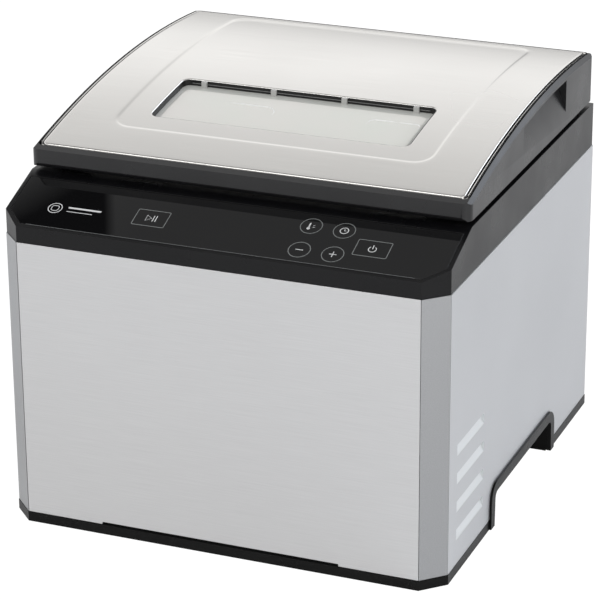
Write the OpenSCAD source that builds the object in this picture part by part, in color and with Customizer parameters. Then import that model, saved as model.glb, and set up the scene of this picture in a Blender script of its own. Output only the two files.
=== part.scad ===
// Countertop sous vide water oven: a steel-sided water bath with a sloping
// touch panel and a curved, windowed lift-off lid.
// Millimetres. The origin is on the worktop, under the middle of the cabinet.
// +X is the cabinet's right side, -Y its front, +Z up.

/* [Cabinet] */
// Width over the side faces
body_w = 330; // [300:1:400]
// Depth from the front face to the rear face
body_d = 343; // [320:1:420]
// Height of the steel walls between the skirt and the collar
wall_h = 207; // [190:1:260]
// Height of the black skirt under the walls
skirt_h = 7.5; // [6:0.5:12]
// How far the rubber feet stand below the skirt
foot_drop = 1.5; // [1:0.5:4]
// Leg of the 45 degree chamfer on each front corner
corner_leg = 16; // [10:1:22]
// Sheet thickness of the outer panels
sheet_t = 1; // [0.8:0.1:1.5]
// How far the panels sit behind the skirt
panel_inset = 0.3; // [0.2:0.1:1]
// How far the collar sits behind the skirt
collar_inset = 0.8; // [0.5:0.1:1.2]
// Wall thickness of the moulded plastic parts
wall_t = 3; // [2.5:0.5:4]

/* [Collar and control panel] */
// Height of the collar along the sides
collar_h = 33.3; // [30:0.1:45]
// Height of the collar's front lip
lip_h = 11.6; // [10:0.1:16]
// Depth of the sloping control panel, measured level
slope_run = 58; // [50:1:70]
// Thickness of the control glass
glass_t = 2.2; // [1.6:0.1:3]
// Width of the black border round the control glass
glass_border = 3.4; // [3:0.1:8]

/* [Tank] */
// Inside width of the water tank
tank_w = 280; // [230:1:290]
// Distance of the tank ahead of the cabinet's rear face
tank_back = 19.5; // [18:0.5:40]
// Distance of the tank behind the top of the sloping panel
tank_setback = 18.5; // [16:0.5:24]
// Inside depth of the tank below the collar's top
tank_depth = 183; // [160:1:190]
// Radius of the tank's upright corners
tank_r = 30; // [15:1:40]
// Thickness of the tank sheet
tank_t = 1; // [0.8:0.1:1.5]

/* [Lid] */
// Height of the lid's highest line above the collar
lid_rise = 43.9; // [38:0.1:60]
// Height of the curved top above the collar, at the lid's front
nose_h = 17.1; // [12:0.1:22]
// Distance of the highest line ahead of the lid's rear edge
crest_back = 78.5; // [60:0.5:120]
// Gap between the collar and the lid
lid_gap = 3.5; // [2:0.1:5]
// How far the lid's sides sit inside the cabinet's sides
lid_inset = 1.5; // [0.5:0.1:4]

/* [Window] */
// Width of the window cut in the steel cover
window_w = 196; // [120:1:220]
// Distance of the window behind the lid's front face
window_setback = 60; // [50:1:90]
// Length of the window, front to rear
window_l = 63; // [40:1:90]
// Corner radius of the window
window_r = 6; // [3:0.5:12]

/* [Pouch rack] */
// Number of sliding dividers is four; this is their pitch at rest
divider_pitch = 48; // [40:1:48]
// Radius of the rack's rails
rail_r = 2; // [1.5:0.1:3]

/* [Pump] */
// Distance of the pump's axis to the right of the middle
pump_x = 60; // [40:1:80]
// Height of the pump's axis above the tank's floor
pump_rise = 33.7; // [30:0.1:45]
// Radius of the pump's shaft
shaft_r = 2.5; // [2:0.1:4]

/* [Hidden] */

$fn = 48;
eps = 0.01;             // overrun that keeps a cut from leaving a skin
fit = 0.3;              // gap between fixed parts that drop into each other
run_fit = 0.05;         // radial clearance of a running fit
curve_fn = 360;         // fineness of the large lid curve

half_w = body_w / 2;
half_d = body_d / 2;
front = -half_d;
skirt_top = foot_drop + skirt_h;
wall_top = skirt_top + wall_h;
collar_top = wall_top + collar_h;
lip_z = wall_top + lip_h;
slope_angle = atan((collar_top - lip_z) / slope_run);
slope_len = slope_run / cos(slope_angle);

// ---------- shared shapes ----------

// Points of an arc that rounds the corner p between a and b.
function corner_arc(a, p, b, r, n) =
    let (u = (a - p) / norm(a - p),
         v = (b - p) / norm(b - p),
         half = acos(u * v) / 2,
         centre = p + (u + v) / norm(u + v) * r / sin(half),
         first = p + u * r / tan(half) - centre,
         last = p + v * r / tan(half) - centre,
         start = atan2(first.y, first.x),
         turn = (atan2(last.y, last.x) - start + 540) % 360 - 180)
    [for (i = [0:n]) centre + r * [cos(start + turn * i / n), sin(start + turn * i / n)]];

// A polygon's points with every corner rounded; radii has one value per corner.
function rounded(points, radii, n = 6) =
    let (count = len(points))
    [for (i = [0:count - 1])
        each (radii[i] > 0
            ? corner_arc(points[(i + count - 1) % count], points[i], points[(i + 1) % count], radii[i], n)
            : [points[i]])];

// Cabinet outline seen from above, moved inwards by d on every side.
function cabinet_points(d) =
    let (leg = corner_leg - d * (2 - sqrt(2)))
    [[-half_w + d, half_d - d], [-half_w + d, front + d + leg], [-half_w + d + leg, front + d],
     [half_w - d - leg, front + d], [half_w - d, front + d + leg], [half_w - d, half_d - d]];

module cabinet_block(d, low, high) {
    translate([0, 0, low]) linear_extrude(high - low) polygon(cabinet_points(d));
}

// Rectangle with true round corners, from x0,y0 to x1,y1.
module round_rect(x0, y0, x1, y1, r) {
    translate([x0 + r, y0]) square([x1 - x0 - 2 * r, y1 - y0]);
    translate([x0, y0 + r]) square([x1 - x0, y1 - y0 - 2 * r]);
    for (x = [x0 + r, x1 - r])
        for (y = [y0 + r, y1 - r])
            translate([x, y]) circle(r);
}

module round_block(x0, y0, x1, y1, r, low, high) {
    translate([0, 0, low]) linear_extrude(high - low) round_rect(x0, y0, x1, y1, r);
}

// Prism along X whose section is given as (y, z) points.
module side_prism(x0, x1, points) {
    translate([x0, 0, 0]) rotate([90, 0, 90]) linear_extrude(x1 - x0) polygon(points);
}

// Prism along Y whose section is given as (x, z) points.
module front_prism(y0, y1, points) {
    translate([0, y1, 0]) rotate([90, 0, 0]) linear_extrude(y1 - y0) polygon(points);
}

module rod_x(x0, x1, y, z, r) { translate([x0, y, z]) rotate([0, 90, 0]) cylinder(r = r, h = x1 - x0); }
module rod_y(y0, y1, x, z, r) { translate([x, y0, z]) rotate([-90, 0, 0]) cylinder(r = r, h = y1 - y0); }
module rod_z(z0, z1, x, y, r) { translate([x, y, z0]) cylinder(r = r, h = z1 - z0); }

module mirrored_x() {
    children();
    mirror([1, 0, 0]) children();
}

// ---------- base ----------

floor_t = 3.5;                  // base floor
locate_h = 6;                   // upstand that locates the panels
locate_t = 2;
recess_depth = 34;              // hand recess, measured into the cabinet
recess_t = 3;
bead_in = 4;                    // width of the bead inside the notch
bead_out = 4;                   // and over the panel around it
bead_stand = 1.5;               // how far the bead stands out
heel_gap = 0.3;                 // heel of the pocket above the table
recess_h = 29.8;                // height of the notch above the skirt's foot
recess_front = -62;
recess_rear = 81;
recess_top = foot_drop + recess_h;
foot_r = 9;
foot_seat = 1.5;                // depth of the pocket that holds each foot
foot_x = half_w - 30;
foot_front = front + 32;
foot_rear = half_d - 30;
post_x = half_w - 14;           // corner posts that the base screws enter
post_front = front + 22;
post_rear = half_d - 14;
screw_r = 2;

foot_places = [for (x = [-foot_x, foot_x]) for (y = [foot_front, foot_rear]) [x, y]];
post_places = [for (x = [-post_x, post_x]) for (y = [post_front, post_rear]) [x, y]];

// Notch outline on the side face, grown outwards by d, as (y, z) points.
function notch_points(d) =
    let (slant = 1, low = foot_drop - 1)
    rounded([[recess_front - d, low], [recess_front + slant - d, recess_top + d],
             [recess_rear - slant + d, recess_top + d], [recess_rear + d, low]],
            [0, 9 + d, 9 + d, 0]);

module recess_cut(d) {
    mirrored_x()
        side_prism(half_w - recess_depth - d, half_w + 1, notch_points(d));
}

module base_tray() {
    color("#1c1c1d") difference() {
        union() {
            cabinet_block(0, foot_drop, foot_drop + floor_t);
            difference() {
                cabinet_block(0, foot_drop, skirt_top);
                cabinet_block(wall_t, foot_drop + floor_t - eps, skirt_top + 1);
            }
            difference() {
                cabinet_block(panel_inset + sheet_t + fit, foot_drop + floor_t - eps, skirt_top + locate_h);
                cabinet_block(panel_inset + sheet_t + fit + locate_t,
                    foot_drop + floor_t - 1, skirt_top + locate_h + 1);
            }
            for (p = post_places)
                rod_z(foot_drop + floor_t - eps, skirt_top + 12, p.x, p.y, 5);
        }
        recess_cut(fit);
        for (p = foot_places) rod_z(0, foot_drop + foot_seat, p.x, p.y, foot_r + fit / 2);
        for (p = post_places) {
            rod_z(0, skirt_top + 20, p.x, p.y, screw_r + run_fit);
            rod_z(0, foot_drop + 2, p.x, p.y, 4);
        }
        for (i = [0:9])
            translate([-60 + i * 12, front + 70, 0]) cube([5, 34, 20]);
    }
}

module rubber_feet() {
    color("#2a2a2a") for (p = foot_places) difference() {
        rod_z(0, foot_drop + foot_seat, p.x, p.y, foot_r);
        translate([p.x, p.y, -1]) cylinder(r = 3, h = 2);
    }
}

module base_screws() {
    color("#9a9a9a") for (p = post_places) difference() {
        union() {
            rod_z(foot_drop + 0.3, foot_drop + 2, p.x, p.y, 3.6);
            rod_z(foot_drop + 2 - eps, skirt_top + 10, p.x, p.y, screw_r);
        }
        translate([p.x - 2.4, p.y - 0.5, foot_drop]) cube([4.8, 1, 1]);
        translate([p.x - 0.5, p.y - 2.4, foot_drop]) cube([1, 4.8, 1]);
    }
}

// Everything below the skirt's foot, round the notch.
module below_notch() {
    translate([half_w - 60, recess_front - 20, -5]) cube([80, 200, foot_drop + 5]);
}

// Moulded pocket behind the notch. Its bead stands on the panel, and a heel
// carries its rear wall down to the table.
module hand_recess() {
    wall_x = half_w - panel_inset - sheet_t - fit;
    color("#19191a") {
        difference() {
            side_prism(half_w - recess_depth, wall_x, notch_points(0));
            side_prism(half_w - recess_depth + recess_t, half_w + 1, notch_points(-recess_t));
            below_notch();
        }
        difference() {
            union() {
                side_prism(wall_x - eps, half_w + bead_stand, notch_points(0));
                side_prism(half_w + 0.02, half_w + bead_stand, notch_points(bead_out));
            }
            side_prism(half_w - 30, half_w + 3, notch_points(-bead_in));
            below_notch();
        }
        translate([half_w - recess_depth + recess_t, recess_rear - recess_t, heel_gap])
            cube([recess_depth - recess_t - 3, recess_t - 0.2, foot_drop + 1]);
    }
}

module right_hand_recess() { hand_recess(); }
module left_hand_recess() { mirror([1, 0, 0]) hand_recess(); }

// ---------- outer panels ----------

seam = 0.3;                     // dark line between neighbouring panels
vent_w = 180;                   // front air slot above the skirt
vent_h = 1.8;
louvre_front = -139;
louvre_len = 57;
louvre_h = 8.2;
louvre_depth = 3.5;
louvre_pitch = 21.4;
louvre_count = 4;
louvre_first = skirt_top + 18.7;
panel_x = half_w - panel_inset; // outer face of the side panels
panel_low = skirt_top;
rear_y = half_d - panel_inset;  // outer face of the rear panel

module front_panel() {
    color("#d2d3d4") difference() {
        translate([-half_w + corner_leg + seam, front + panel_inset, panel_low])
            cube([body_w - 2 * corner_leg - 2 * seam, sheet_t, wall_h]);
        translate([-vent_w / 2, front - 1, panel_low - 1]) cube([vent_w, 5, 1 + vent_h]);
    }
}

module corner_trim() {
    color("#a5a6a8") translate([0, 0, panel_low]) linear_extrude(wall_h) difference() {
        polygon(cabinet_points(panel_inset));
        polygon(cabinet_points(panel_inset + sheet_t));
        translate([-half_w - 1, front - 1]) square([body_w - corner_leg + 1, body_d + 2]);
        translate([-half_w - 1, front + corner_leg]) square([body_w + 2, body_d]);
    }
}

module right_corner_trim() { corner_trim(); }
module left_corner_trim() { mirror([1, 0, 0]) corner_trim(); }

// One louvre: the sheet leans inwards from its foot and is closed at both ends.
module louvre_opening(z) {
    translate([panel_x - 20, louvre_front, z]) cube([21, louvre_len, louvre_h]);
}

module louvre_tongue(z) {
    front_prism(louvre_front, louvre_front + louvre_len,
        [[panel_x - sheet_t, z], [panel_x, z], [panel_x - louvre_depth, z + louvre_h],
         [panel_x - louvre_depth - sheet_t, z + louvre_h]]);
    for (y = [louvre_front - sheet_t + eps, louvre_front + louvre_len - eps])
        front_prism(y, y + sheet_t,
            [[panel_x - sheet_t / 2, z], [panel_x - sheet_t / 2, z + louvre_h],
             [panel_x - louvre_depth - sheet_t, z + louvre_h], [panel_x - sheet_t, z]]);
}

module side_panel() {
    color("#c3c8ce") union() {
        difference() {
            translate([panel_x - sheet_t, front + corner_leg + seam, panel_low])
                cube([sheet_t, body_d - corner_leg - seam - panel_inset, wall_h]);
            side_prism(panel_x - 5, panel_x + 5, notch_points(fit));
            for (i = [0:louvre_count - 1]) louvre_opening(louvre_first + i * louvre_pitch);
        }
        for (i = [0:louvre_count - 1]) louvre_tongue(louvre_first + i * louvre_pitch);
    }
}

module right_side_panel() { side_panel(); }
module left_side_panel() { mirror([1, 0, 0]) side_panel(); }

inlet_x = -95;                  // mains inlet in the rear panel
inlet_z = 52;
inlet_w = 27.5;
inlet_h = 20;
rear_half = panel_x - sheet_t - fit;
rear_screw_places = [for (x = [-rear_half + 12, 0, rear_half - 12])
    for (z = [panel_low + 24, wall_top - 10]) [x, z]];

module rear_panel() {
    color("#b9bdc2") difference() {
        translate([-rear_half, rear_y - sheet_t, panel_low]) cube([2 * rear_half, sheet_t, wall_h]);
        translate([inlet_x - inlet_w / 2 - fit, rear_y - 5, inlet_z - inlet_h / 2 - fit])
            cube([inlet_w + 2 * fit, 10, inlet_h + 2 * fit]);
        for (i = [0:7])
            for (j = [0:2])
                translate([30 + i * 12, rear_y - 5, 40 + j * 16]) cube([4, 10, 10]);
        for (p = rear_screw_places)
            rod_y(rear_y - 5, rear_y + 5, p.x, p.y, screw_r + run_fit);
    }
}

module rear_panel_screws() {
    color("#a8a8a8") for (p = rear_screw_places) difference() {
        union() {
            rod_y(rear_y + 0.02, rear_y + panel_inset - 0.05, p.x, p.y, 3.6);
            rod_y(rear_y - 9, rear_y + 0.02 + eps, p.x, p.y, screw_r);
        }
        translate([p.x - 2, rear_y + 0.1, p.y - 0.4]) cube([4, 2, 0.8]);
        translate([p.x - 0.4, rear_y + 0.1, p.y - 2]) cube([0.8, 2, 4]);
    }
}

module inlet_socket() {
    cavity_w = 24;
    cavity_h = 16;
    flange = 3;
    color("#151515") difference() {
        union() {
            translate([inlet_x - inlet_w / 2, rear_y - 28, inlet_z - inlet_h / 2])
                cube([inlet_w, 28, inlet_h]);
            translate([inlet_x - inlet_w / 2 - flange,
                rear_y - sheet_t - 1.5 - fit, inlet_z - inlet_h / 2 - flange])
                cube([inlet_w + 2 * flange, 1.5, inlet_h + 2 * flange]);
        }
        for (p = pin_places)
            translate([inlet_x + p.x - 1 - 0.02, rear_y - 35, inlet_z + p.y - 2 - 0.02])
                cube([2.04, 20, 4.04]);
        front_prism(rear_y - 20, rear_y + 5,
            [for (p = rounded([[-cavity_w / 2, -cavity_h / 2], [cavity_w / 2, -cavity_h / 2],
                               [cavity_w / 2, cavity_h / 2 - 5], [cavity_w / 2 - 5, cavity_h / 2],
                               [-cavity_w / 2 + 5, cavity_h / 2], [-cavity_w / 2, cavity_h / 2 - 5]],
                              [2, 2, 1, 1, 1, 1], 4)) [inlet_x + p.x, inlet_z + p.y]]);
    }
}

pin_places = [[-7, -2], [7, -2], [0, 2]];

module inlet_pins() {
    color("#c9b26a") for (p = pin_places)
        translate([inlet_x + p.x - 1, rear_y - 20 - 14, inlet_z + p.y - 2]) cube([2, 28, 4]);
}

// ---------- collar and controls ----------

glass_gap = 0.25;               // joint between the glass and its border
glass_rear = 8;                 // plastic left behind the glass, up the slope
tank_front = front + slope_run + tank_setback;
tank_rear = half_d - tank_back;
tank_mid = (tank_front + tank_rear) / 2;
mouth_half = tank_w / 2 + 1.5;
mouth_front = tank_front - 1.5;
mouth_rear = tank_rear + 1.5;
flange_out = 11;                // width of the tank's flange
flange_z = collar_top - wall_t - 1.8;
gasket_low = flange_z + tank_t;

// Region below the sloping panel and the level top, moved down by d.
module under_top(d) {
    drop = d / cos(slope_angle);
    side_prism(-half_w - 5, half_w + 5,
        [[front - 5, -5],
         [half_d + 5, -5],
         [half_d + 5, collar_top - d],
         [front + slope_run + d * tan(slope_angle / 2), collar_top - d],
         [front, lip_z - drop],
         [front - 5, lip_z - drop - 5 * tan(slope_angle)]]);
}

// Frame that lies on the slope: x across, y up the slope, z out of it.
module on_slope() { translate([0, front, lip_z]) rotate([slope_angle, 0, 0]) children(); }

function glass_points(d) =
    let (edge = collar_inset + glass_border + d, rear = slope_len - glass_rear - d,
         half = half_w - edge, leg = corner_leg - edge * (2 - sqrt(2)))
    [[-half, rear], [-half, edge + leg], [-half + leg, edge],
     [half - leg, edge], [half, edge + leg], [half, rear]];

module top_collar() {
    color("#2d2e30") union() {
        difference() {
            intersection() {
                cabinet_block(collar_inset, wall_top, collar_top);
                under_top(0);
            }
            intersection() {
                cabinet_block(collar_inset + wall_t, wall_top - 1, collar_top);
                under_top(wall_t + glass_t);
            }
            on_slope() translate([0, 0, -glass_t]) linear_extrude(10) polygon(glass_points(-glass_gap));
            round_block(-mouth_half, mouth_front, mouth_half, mouth_rear,
                tank_r + 1.5, wall_top - 1, collar_top + 1);
            round_block(-mouth_half - flange_out, mouth_front - flange_out, mouth_half + flange_out,
                mouth_rear + flange_out, tank_r + flange_out, wall_top - 1, collar_top - wall_t);
        }
        difference() {
            cabinet_block(panel_inset + sheet_t + fit, wall_top - locate_h, wall_top + eps);
            cabinet_block(panel_inset + sheet_t + fit + locate_t, wall_top - locate_h - 1, wall_top + 1);
        }
    }
}

module control_glass() {
    color("#08090a") on_slope() translate([0, 0, -glass_t + 0.05])
        linear_extrude(glass_t - 0.05) polygon(glass_points(0));
}

module touch_board() {
    color("#1f5a33") on_slope() translate([0, 0, -glass_t - wall_t - 3]) difference() {
        translate([-140, 9, 0]) cube([280, 38, 1.6]);
        for (x = [-134, 134]) translate([x, 28, -1]) cylinder(r = 1.6, h = 4);
    }
}

module display_module() {
    color("#101216") on_slope() translate([-22, 18, -glass_t - wall_t - 3 - 8.2]) cube([56, 20, 8]);
}

board_y = front + 12;

module power_board() {
    color("#1d4f2d") translate([-140, board_y, 40]) cube([110, 1.6, 95]);
}

module power_board_parts() {
    color("#e8e4d8") {
        translate([-132, board_y + 1.7, 48]) cube([30, 24, 26]);
        translate([-92, board_y + 1.7, 50]) cube([19, 15, 15.5]);
        translate([-68, board_y + 1.7, 50]) cube([19, 15, 15.5]);
        for (x = [-128, -112, -96]) rod_y(board_y + 1.7, board_y + 22, x, 105, 6);
        translate([-80, board_y + 1.7, 96]) cube([38, 4, 24]);
    }
}

// ---------- tank ----------

tank_floor = collar_top - tank_depth;
pump_z = tank_floor + pump_rise;
probe_x = -40;
cutout_x = 0;

module tank_shape(d, low, high) {
    round_block(-tank_w / 2 - d, tank_front - d, tank_w / 2 + d, tank_rear + d, tank_r + d, low, high);
}

module tank() {
    color("#c9ccd0") difference() {
        union() {
            tank_shape(tank_t, tank_floor - tank_t, flange_z + tank_t);
            round_block(-tank_w / 2 - flange_out, tank_front - flange_out, tank_w / 2 + flange_out,
                tank_rear + flange_out, tank_r + flange_out - 2, flange_z, flange_z + tank_t);
        }
        tank_shape(0, tank_floor, collar_top);
        at_pump() cylinder(r = pump_eye_r, h = 20, center = true);
        at_pump() translate([0, return_rise, 0])
            cylinder(r = return_r + return_t + run_fit, h = 20, center = true);
    }
}

module tank_gasket() {
    color("#d9d9d4") difference() {
        round_block(-tank_w / 2 - flange_out, tank_front - flange_out, tank_w / 2 + flange_out,
            tank_rear + flange_out, tank_r + flange_out - 2, gasket_low + 0.02, collar_top - wall_t - 0.02);
        round_block(-mouth_half, mouth_front, mouth_half, mouth_rear, tank_r + 1.5, flange_z - 1, collar_top);
    }
}

// Felt blanket on the left, right and rear walls of the tank.
module tank_insulation() {
    blanket = 6;
    color("#d8cfae") difference() {
        tank_shape(tank_t + 1 + blanket, tank_floor + 12, flange_z - 4);
        tank_shape(tank_t + 1, tank_floor, flange_z);
        translate([-200, tank_front - 30, 0]) cube([400, 30 + tank_r, 400]);
    }
}

heater_t = 5;
heater_top = tank_floor - tank_t - 0.1;

module heater_plate() {
    color("#b4b6b8") difference() {
        round_block(-100, tank_mid - 80, 100, tank_mid + 80, 20, heater_top - heater_t, heater_top);
        rod_z(heater_top - 10, heater_top + 1, cutout_x, tank_mid, 9);
        rod_z(heater_top - 10, heater_top + 1, probe_x, tank_mid, 5);
    }
}

// Tubular element clamped under the plate: two straight legs and a bend.
module heater_element() {
    tube = 3.3;
    reach = 60;
    bend = 45;
    low = heater_top - heater_t - tube - 0.1;
    color("#8a8c8e") {
        for (y = [-bend, bend]) rod_x(-90, reach, tank_mid + y, low, tube);
        translate([reach, tank_mid, low]) rotate([0, 0, -90])
            rotate_extrude(angle = 180) translate([bend, 0]) circle(tube);
    }
}

module temperature_probe() {
    color("#c9ccd0") {
        rod_z(heater_top - 12, heater_top - 0.05, probe_x, tank_mid, 4);
        rod_z(heater_top - 22, heater_top - 12 + eps, probe_x, tank_mid, 2.5);
    }
}

module thermal_cutout() {
    color("#2b2420") {
        rod_z(heater_top - 8, heater_top - 0.05, cutout_x, tank_mid, 8);
        for (x = [-5, 5]) translate([cutout_x + x - 0.4, tank_mid - 3, heater_top - 16]) cube([0.8, 6, 9]);
    }
}

// ---------- circulation pump ----------

pump_eye_r = 7;
volute_r = 26;
volute_h = 20;
volute_t = 2.5;
return_rise = 55;               // height of the return above the pump axis
return_r = 5;
return_t = 2;
motor_r = 22;
motor_len = 38;
motor_gap = 0.5;

// Frame on the tank's front wall: z points out of the tank, towards the front.
module at_pump() { translate([pump_x, tank_front - tank_t, pump_z]) rotate([90, 0, 0]) children(); }

module pump_housing() {
    color("#e6e6e2") at_pump() difference() {
        union() {
            translate([0, 0, 0.05]) cylinder(r = volute_r, h = volute_h);
            translate([0, 0, 12]) rotate([-90, 0, 0]) cylinder(r = return_r + return_t, h = return_rise);
            translate([0, return_rise, -tank_t - 4])
                cylinder(r = return_r + return_t, h = 12 + tank_t + 4 + return_r);
        }
        translate([0, 0, volute_t]) cylinder(r = volute_r - volute_t, h = volute_h - 2 * volute_t);
        translate([0, 0, -1]) cylinder(r = pump_eye_r, h = 5);
        translate([0, 0, volute_h - 5]) cylinder(r = 6, h = 10);
        translate([0, 15, 12]) rotate([-90, 0, 0]) cylinder(r = return_r, h = return_rise - 15);
        translate([0, return_rise, -tank_t - 5]) cylinder(r = return_r, h = 12 + tank_t + 5 + return_t);
    }
}

module pump_seal() {
    color("#3a3a3a") at_pump() translate([0, 0, volute_h - volute_t]) difference() {
        cylinder(r = 6 - 0.02, h = volute_t);
        translate([0, 0, -1]) cylinder(r = shaft_r + run_fit, h = volute_t + 2);
    }
}

module pump_strainer() {
    color("#bfc2c6") at_pump() translate([0, 0, -tank_t - 4]) difference() {
        cylinder(r = 15, h = 3.95);
        translate([0, 0, 1]) cylinder(r = 14, h = 4);
        for (ring = [[5, 6], [10, 12]])
            for (i = [0:ring[1] - 1])
                rotate([0, 0, i * 360 / ring[1]]) translate([ring[0], 0, -1]) cylinder(r = 1.3, h = 4);
    }
}

module motor_case() {
    color("#9fa3a8") at_pump() translate([0, 0, volute_h + motor_gap]) difference() {
        cylinder(r = motor_r, h = motor_len);
        translate([0, 0, 2]) cylinder(r = motor_r - 2, h = motor_len - 4);
        translate([0, 0, -1]) cylinder(r = shaft_r + run_fit, h = motor_len + 2);
        for (i = [0:5])
            rotate([0, 0, i * 60]) translate([13, 0, motor_len - 3]) cylinder(r = 2.5, h = 5);
    }
}

stator_in = 15.5;

module motor_stator() {
    color("#8c5a34") at_pump() translate([0, 0, volute_h + motor_gap + 8]) difference() {
        cylinder(r = motor_r - 2.05, h = 22);
        translate([0, 0, -1]) cylinder(r = stator_in, h = 24);
    }
}

module pump_shaft() {
    color("#d5d8dc") at_pump() translate([0, 0, 8])
        cylinder(r = shaft_r, h = volute_h + motor_gap + motor_len - 7);
}

module pump_impeller() {
    color("#f0efe9") at_pump() translate([0, 0, 5]) difference() {
        union() {
            translate([0, 0, 7]) cylinder(r = 20, h = 2);
            cylinder(r = 6, h = 9);
            for (i = [0:5])
                rotate([0, 0, i * 60]) translate([5, -1, 1]) cube([14, 2, 7]);
        }
        translate([0, 0, 3]) cylinder(r = shaft_r, h = 10);
    }
}

module motor_rotor() {
    color("#6e7276") at_pump() translate([0, 0, volute_h + motor_gap + 8]) difference() {
        cylinder(r = stator_in - 0.5, h = 22);
        translate([0, 0, -1]) cylinder(r = shaft_r, h = 24);
    }
}

// ---------- pouch rack ----------

rack_half = tank_w / 2 - 14;
rack_front = tank_front + 14;
rack_rear = tank_rear - 12;
rail_z = tank_floor + 118;
rack_foot = tank_floor + 0.2;
wire_r = 1.5;
sleeve_r = rail_r + 2;
sleeve_len = 6;

post_r = rail_r + 0.6;
cross_drop = 5;                 // side rods pass under the rails

module rack_frame() {
    color("#c3c6ca") {
        for (y = [rack_front, rack_rear]) {
            for (z = [rack_foot + 12, rail_z]) rod_x(-rack_half, rack_half, y, z, rail_r);
            for (x = [-rack_half, rack_half]) rod_z(rack_foot, rail_z + 4, x, y, post_r);
        }
        for (x = [-rack_half, rack_half])
            for (z = [rack_foot + 12, rail_z]) rod_y(rack_front, rack_rear, x, z - cross_drop, wire_r);
        for (i = [1:8])
            rod_y(rack_front, rack_rear, -rack_half + i * 2 * rack_half / 9, rack_foot + 12, wire_r);
    }
}

// Wire divider that slides on the two upper rails.
module divider(n) {
    x = (n - 2.5) * divider_pitch;
    low = rack_foot + 20;
    inner_front = rack_front + sleeve_r - 0.5;
    inner_rear = rack_rear - sleeve_r + 0.5;
    color("#cfd2d6") difference() {
        union() {
            for (y = [rack_front, rack_rear])
                rod_x(x - sleeve_len / 2, x + sleeve_len / 2, y, rail_z, sleeve_r);
            rod_y(inner_front, inner_rear, x, rail_z, wire_r);
            rod_y(inner_front + 6, inner_rear - 6, x, low, wire_r);
            for (i = [0:7])
                rod_z(low, rail_z, x, inner_front + 6 + i * (inner_rear - inner_front - 12) / 7, wire_r);
        }
        for (y = [rack_front, rack_rear]) rod_x(x - 10, x + 10, y, rail_z, rail_r + run_fit);
    }
}

module divider_1() { divider(1); }
module divider_2() { divider(2); }
module divider_3() { divider(3); }
module divider_4() { divider(4); }

// ---------- lid ----------

lid_half = half_w - lid_inset;
lid_front = front + slope_run - 3.5;
lid_rear = half_d - 1;
lid_low = collar_top + lid_gap;
lid_corner = 7;
crest_y = lid_rear - crest_back;
crest_z = collar_top + lid_rise;
curve_drop = lid_rise - nose_h;
lid_radius = (pow(crest_y - lid_front, 2) + pow(curve_drop, 2)) / (2 * curve_drop);
axis_z = crest_z - lid_radius;
rim_drop = 0.6;                 // rim below the steel's surface
bevel_drop = 2.8;               // bevel along the lid's sides
bevel_in = 2.6;
cover_t = 0.9;
cover_half = lid_half - 3.6;
cover_front = lid_front + 6.5;
cover_rear = lid_rear - 3;
cover_corner = 4;
cover_turn = 3.5;               // height of the cover's turned-down edge
groove = 0.8;                   // dark joint round the cover
deck_t = 2.4;
shell_in = 2.6;

// Solid ring about the lid's long curve; profile points are (radius, x).
module lid_ring(points) {
    translate([0, crest_y, axis_z]) rotate([0, 90, 0]) rotate_extrude($fn = curve_fn) polygon(points);
}

// Everything between two radii of the lid curve, within x = -half..half.
module lid_shell(r_in, r_out, half) {
    lid_ring([[r_in, -half], [r_out, -half], [r_out, half], [r_in, half]]);
}

module cover_plan(d, low, high) {
    round_block(-cover_half + d, cover_front + d, cover_half - d, cover_rear - d, cover_corner, low, high);
}

grip_front = -1;
grip_rear = 100;
grip_low = lid_low + 11.2;
grip_depth = 9;
grip_lintel = 4.9;              // solid above the grip's ceiling

module grip_block() {
    intersection() {
        translate([lid_half - grip_depth - 3, grip_front - 3, lid_low + 4])
            cube([grip_depth + 2, grip_rear - grip_front + 6, 60]);
        lid_shell(300, lid_radius - cover_t - 0.2, lid_half);
    }
}

module grip_cut() {
    slope_top = grip_low + 24;
    intersection() {
        front_prism(grip_front, grip_rear,
            [[lid_half + 0.01, grip_low], [lid_half + 2, grip_low], [lid_half + 2, slope_top],
             [lid_half - grip_depth, slope_top]]);
        lid_shell(300, lid_radius - grip_lintel, lid_half + 5);
    }
}

// Height of the steel's surface above the point y.
function lid_z(y) = axis_z + sqrt(pow(lid_radius, 2) - pow(y - crest_y, 2));

nose_rise = 2.6;                // front nose above the line of the steel
nose_len = 12;

// Side view of the lid: rounded front nose, rounded rear edge.
module lid_side_shape() {
    nose_z = lid_z(lid_front) + nose_rise;
    tail_z = lid_z(lid_rear) - rim_drop;
    side_prism(-lid_half - 1, lid_half + 1,
        rounded([[lid_front + 2, lid_low], [lid_front, lid_low + 2.5],
                 [lid_front, nose_z], [lid_front + nose_len, nose_z + 0.32 * nose_len],
                 [lid_front + nose_len, crest_z + 5], [lid_rear - 40, crest_z + 5],
                 [lid_rear - 14, tail_z + 1.9], [lid_rear, tail_z],
                 [lid_rear, lid_low + 2], [lid_rear - 2, lid_low]],
                [0, 2, 4.5, 0, 0, 0, 0, 6, 2, 0]));
}

window_front = lid_front + window_setback;
window_rear = window_front + window_l;

module window_cut(d) {
    round_block(-window_w / 2 - d, window_front - d, window_w / 2 + d, window_rear + d, window_r + d,
        lid_low - 10, crest_z + 10);
}

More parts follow.
